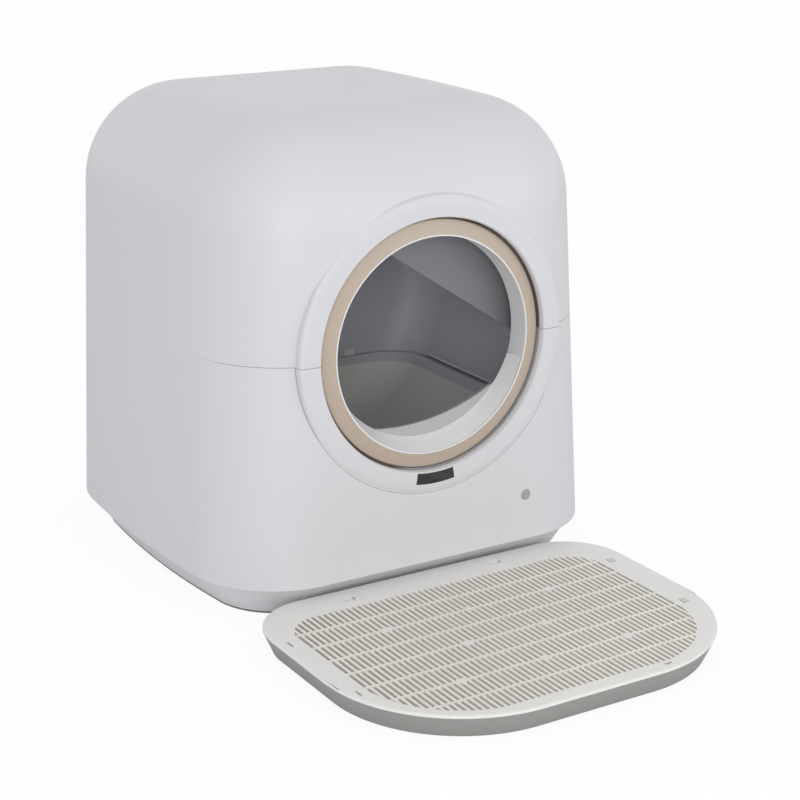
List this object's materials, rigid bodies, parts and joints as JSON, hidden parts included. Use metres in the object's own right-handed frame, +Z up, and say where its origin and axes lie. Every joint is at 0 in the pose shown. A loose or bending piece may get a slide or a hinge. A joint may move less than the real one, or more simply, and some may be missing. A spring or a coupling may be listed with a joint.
{
  "type": "self-cleaning litter box",
  "caption": "Automatic self-cleaning litter box: rounded housing with a round front entrance, a turning litter drum on driven rollers, a waste drawer at the back and a litter mat in front.",
  "frame": {"origin": "on the floor under the middle of the whole footprint, housing and mat together", "axes": "+Z up; the entrance faces -Y, where the mat lies; +X is to the right seen from the front"},
  "size_m": [0.5018, 0.828, 0.525],
  "materials": {
    "upper_cover": "satin",
    "lower_body": "satin",
    "lower_bezel": "satin",
    "display_window": "gloss",
    "display_board": "satin",
    "seal_ring": "matt",
    "control_button": "gloss",
    "switch_block": "matt",
    "base_pan": "satin",
    "foot_rim": "matt",
    "drum_mouth": "satin",
    "drum_shell": "satin",
    "trim_ring": "satin",
    "litter_fence": "satin",
    "guard_plate": "satin",
    "sieve_grate": "satin",
    "drum_liner": "satin",
    "wiper_strip": "matt",
    "ring_gear": "satin",
    "drive_pinion": "satin",
    "pinion_shaft": "ground",
    "gear_motor": "satin",
    "motor_bracket": "satin",
    "roller_bracket_front_left": "satin",
    "roller_bracket_front_right": "satin",
    "roller_bracket_rear_left": "satin",
    "roller_bracket_rear_right": "satin",
    "roller_front_left": "matt",
    "roller_front_right": "matt",
    "roller_rear_left": "matt",
    "roller_rear_right": "matt",
    "roller_axles": "ground",
    "waste_drawer": "satin",
    "drawer_panel": "satin",
    "drawer_rails": "satin",
    "board_standoffs": "satin",
    "control_board": "satin",
    "power_inlet": "satin",
    "mat_tray": "satin",
    "mat_grid": "satin"
  },
  "bodies": {
    "housing": {"lower_body": "lower_body", "lower_bezel": "lower_bezel", "display_window": "display_window", "display_board": "display_board", "seal_ring": "seal_ring", "switch_block": "switch_block", "base_pan": "base_pan", "foot_rim": "foot_rim", "gear_motor": "gear_motor", "motor_bracket": "motor_bracket", "roller_bracket_front_left": "roller_bracket_front_left", "roller_bracket_front_right": "roller_bracket_front_right", "roller_bracket_rear_left": "roller_bracket_rear_left", "roller_bracket_rear_right": "roller_bracket_rear_right", "roller_axles": "roller_axles", "drawer_rails": "drawer_rails", "board_standoffs": "board_standoffs", "control_board": "control_board", "power_inlet": "power_inlet"},
    "cover": {"upper_cover": "upper_cover"},
    "drum": {"drum_mouth": "drum_mouth", "drum_shell": "drum_shell", "trim_ring": "trim_ring", "litter_fence": "litter_fence", "guard_plate": "guard_plate", "sieve_grate": "sieve_grate", "drum_liner": "drum_liner", "wiper_strip": "wiper_strip", "ring_gear": "ring_gear"},
    "pinion": {"drive_pinion": "drive_pinion", "pinion_shaft": "pinion_shaft"},
    "front_left_roller": {"roller_front_left": "roller_front_left"},
    "front_right_roller": {"roller_front_right": "roller_front_right"},
    "rear_left_roller": {"roller_rear_left": "roller_rear_left"},
    "rear_right_roller": {"roller_rear_right": "roller_rear_right"},
    "drawer": {"waste_drawer": "waste_drawer", "drawer_panel": "drawer_panel"},
    "button": {"control_button": "control_button"},
    "mat": {"mat_tray": "mat_tray"},
    "grid": {"mat_grid": "mat_grid"}
  },
  "joints": [
    {"name": "drum_spin", "type": "hinge", "parent": "housing", "child": "drum", "pos_m": [0, 0, 0.281], "axis": [0, 1, 0], "continuous": true},
    {"name": "pinion_spin", "type": "hinge", "parent": "housing", "child": "pinion", "pos_m": [0.14549, 0, 0.197], "axis": [0, 1, 0], "continuous": true},
    {"name": "roller_front_left_spin", "type": "hinge", "parent": "housing", "child": "front_left_roller", "pos_m": [-0.12393, -0.013, 0.12237], "axis": [0, 1, 0], "continuous": true},
    {"name": "roller_front_right_spin", "type": "hinge", "parent": "housing", "child": "front_right_roller", "pos_m": [0.12393, -0.013, 0.12237], "axis": [0, 1, 0], "continuous": true},
    {"name": "roller_rear_left_spin", "type": "hinge", "parent": "housing", "child": "rear_left_roller", "pos_m": [-0.12393, 0.157, 0.12237], "axis": [0, 1, 0], "continuous": true},
    {"name": "roller_rear_right_spin", "type": "hinge", "parent": "housing", "child": "rear_right_roller", "pos_m": [0.12393, 0.157, 0.12237], "axis": [0, 1, 0], "continuous": true},
    {"name": "drawer_slide", "type": "slide", "parent": "housing", "child": "drawer", "axis": [0, 1, 0], "range_m": [0, 0.36]},
    {"name": "cover_lift", "type": "slide", "parent": "housing", "child": "cover", "axis": [0, 0, 1], "range_m": [0, 0.26]},
    {"name": "button_press", "type": "slide", "parent": "housing", "child": "button", "axis": [0, 1, 0], "range_m": [0, 0.0015], "stiffness_N_per_m": 400, "springref_m": -0.0005},
    {"name": "mat_slide", "type": "slide", "parent": "housing", "child": "mat", "axis": [0, -1, 0], "range_m": [0, 0.15]},
    {"name": "grid_lift", "type": "slide", "parent": "mat", "child": "grid", "axis": [0, 0, 1], "range_m": [0, 0.009]}
  ],
  "couplings": [
    {"joint": "pinion_spin", "follows": "drum_spin", "ratio": -6},
    {"joint": "roller_front_left_spin", "follows": "drum_spin", "ratio": -12.4},
    {"joint": "roller_front_right_spin", "follows": "drum_spin", "ratio": -12.4},
    {"joint": "roller_rear_left_spin", "follows": "drum_spin", "ratio": -12.4},
    {"joint": "roller_rear_right_spin", "follows": "drum_spin", "ratio": -12.4}
  ]
}
